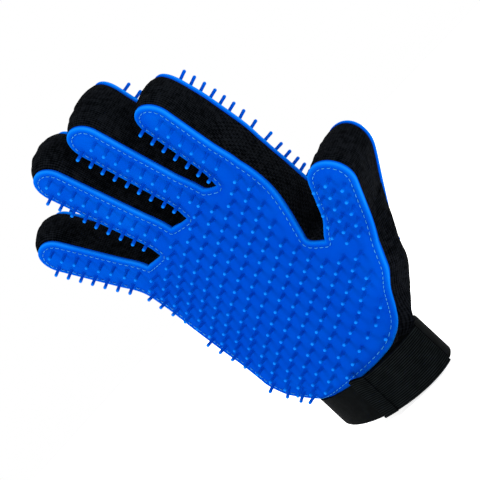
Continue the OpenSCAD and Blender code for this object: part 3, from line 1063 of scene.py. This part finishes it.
def band_mesh(near, far, a0, a1, low, high, ribs, strap):
    """A band of webbing round the cuff, with ribs that run along its outer face."""
    whole = a1 - a0 == 360
    steps = round((a1 - a0) / 3)
    angles = np.linspace(a0, a1, steps + (0 if whole else 1), endpoint=not whole)
    if ribs:
        crests = [(0.5 - 0.5 * math.cos(2 * math.pi * ribs * v), v)
                  for v in np.linspace(0, 1, ribs * 6 + 1)]
        # the crest value also sets the painted light: a painted highlight on each rib, painted shade in the
        # grooves between
        outer = [(far - RIB_H * (1 - crest), v, crest) for crest, v in crests]
    else:
        outer = [(far, v, 0.5) for v in np.linspace(0, 1, 11)]
    section = outer + [(near, v, 0.5) for v in np.linspace(1, 0, 11)]
    verts, uv, painted_light, widths = [], [], [], []
    along = 0.0
    last = None
    for a in angles:
        c, s = math.cos(math.radians(a)), math.sin(math.radians(a))
        here = np.array([(CUFF_A + far) * c, (CUFF_B + far) * s])
        along += 0 if last is None else float(np.linalg.norm(here - last))
        last = here
        bottom = low + LOW_TILT * far_from_front(a)
        top = high + (TOP_TILT * far_from_front(a) if strap else 0)
        if ribs:
            top += END_RISE * (1 - smoothstep((a - STRAP_FROM) / END_OVER))
        out = slack_at(a) if strap else 0
        widths.append(top - bottom)
        for d, v, crest in section:
            painted_light.append(crest)
            x = (CUFF_A + d + out) * c + CUFF_TUCK * min(c, 0) ** 2
            verts.append((x, (CUFF_B + d + out) * s, bottom + (top - bottom) * v))
            uv.append((along, (high - low) * v))
    m, n = len(section), len(angles)
    faces = []
    for i in range(n if whole else n - 1):
        for k in range(m):
            a, b = i * m + k, i * m + (k + 1) % m
            a2, b2 = ((i + 1) % n) * m + k, ((i + 1) % n) * m + (k + 1) % m
            faces.append((a, a2, b2, b))
    if not whole:
        faces.append(tuple(range(m)))
        faces.append(tuple((n - 1) * m + k for k in range(m - 1, -1, -1)))
    return np.array(verts), faces, np.array(uv), painted_light, along, float(np.mean(widths))


def add_band(name, material, slot, node, body, layer, angles, heights, ribs=0, strap=False):
    """A band between two distances outside the cuff, two angles round it and two heights."""
    verts, faces, uv, painted_light, length, width = band_mesh(*layer, *angles, *heights, ribs, strap)
    obj = make(name, verts, faces, material, painted_light=painted_light, uv=uv, sharp=60)
    place(obj, slot, [node], body=body)
    return obj


def build_cuff():
    z0, z1 = STRAP_Z, STRAP_Z + STRAP_W - 1
    end = STRAP_FROM
    add_band("cuff_elastic", mat_elastic, "elastic", "cuff_band", "hand",
             (-1.5, 0), (0, 360), (0, CUFF_TOP))
    add_band("cuff_hem_cloth", mat_lining, "lining", "cuff_hem", "hand",
             (-3, -1.8), (0, 360), (0, 14))
    add_band("under_strap_webbing", mat_elastic, "elastic", "under_strap", "hand",
             (0.7, 2.4), (2, 318), (z0, z1), strap=True)
    add_band("wrist_strap_webbing", mat_elastic, "elastic", "wrist_strap", "strap",
             (3.8, 5.6), (end, -5.5), (z0, z1), ribs=STRAP_RIBS, strap=True)
    add_band("hook_patch_tape", mat_hook, "hook_tape", "hook_patch", "strap",
             (2.6, 3.6), (end + 3, end + 38), (z0 + 2, z1 - 2), strap=True)
    add_band("strap_end_webbing", mat_elastic, "elastic", "strap_end_fold", "strap",
             (5.7, 6.8), (end, end + 12), (z0, z1), ribs=STRAP_RIBS, strap=True)


# ---- stage, light and camera ----

def build_stage():
    size = 6.0
    mesh = bpy.data.meshes.new("floor")
    corners = [(-size, -size, 0), (size, -size, 0), (size, size, 0), (-size, size, 0)]
    mesh.from_pydata(corners, [], [(0, 1, 2, 3)])
    m, _, shader = nodes_of("floor_paper", Roughness=0.9, Specular_IOR_Level=0.1)
    shader.inputs["Base Color"].default_value = (0.95, 0.95, 0.95, 1)
    shader.inputs["Emission Color"].default_value = (1, 1, 1, 1)
    shader.inputs["Emission Strength"].default_value = 0.8
    mesh.materials.append(m)
    floor = bpy.data.objects.new("floor", mesh)
    floor.location.z = -0.0005
    bpy.context.scene.collection.objects.link(floor)


def area_light(name, azimuth, elevation, distance, size, power, aim):
    a, e = math.radians(azimuth), math.radians(elevation)
    away = Vector((math.sin(a) * math.cos(e), -math.cos(a) * math.cos(e), math.sin(e)))
    lamp = bpy.data.lights.new(name, "AREA")
    lamp.size = size
    lamp.energy = power
    obj = bpy.data.objects.new(name, lamp)
    obj.location = aim + away * distance
    obj.rotation_mode = "QUATERNION"
    obj.rotation_quaternion = (-away).to_track_quat("-Z", "Y")
    bpy.context.scene.collection.objects.link(obj)


def build_light():
    world = bpy.data.worlds.new("studio")
    world.use_nodes = True
    world.node_tree.nodes["Background"].inputs["Color"].default_value = (1, 1, 1, 1)
    world.node_tree.nodes["Background"].inputs["Strength"].default_value = 1.0
    bpy.context.scene.world = world
    bpy.context.scene.view_settings.view_transform = "Standard"
    aim = (cad_box[0] + cad_box[1]) / 2
    area_light("key", 10, 45, 1.2, 0.5, 9, aim)
    area_light("fill", 110, 25, 1.4, 0.8, 4, aim)


def build_camera():
    """The camera looks level at the glove from the thumb's side, rolled so that the fingers point
    up and left."""
    azimuth, elevation, roll = math.radians(44), math.radians(0.5), math.radians(47)
    distance, lens = 0.9, 125
    right = Vector((math.cos(azimuth), math.sin(azimuth), 0))
    back = Vector((math.sin(azimuth) * math.cos(elevation), -math.cos(azimuth) * math.cos(elevation),
                   math.sin(elevation)))
    up = back.cross(right)
    turned_right = right * math.cos(roll) - up * math.sin(roll)
    turned_up = right * math.sin(roll) + up * math.cos(roll)
    aim = Vector((-0.0025, 0.003, 0.132)) + turned_right * 0.0075 - turned_up * 0.0048
    data = bpy.data.cameras.new("camera")
    data.lens = lens
    data.sensor_width = 36
    camera = bpy.data.objects.new("camera", data)
    camera.matrix_world = Matrix((turned_right, turned_up, back)).transposed().to_4x4()
    camera.location = aim + back * distance
    bpy.context.scene.collection.objects.link(camera)
    bpy.context.scene.camera = camera


build_pads()
build_sides()
build_linings()
build_cuff()
build_stage()
build_light()
build_camera()
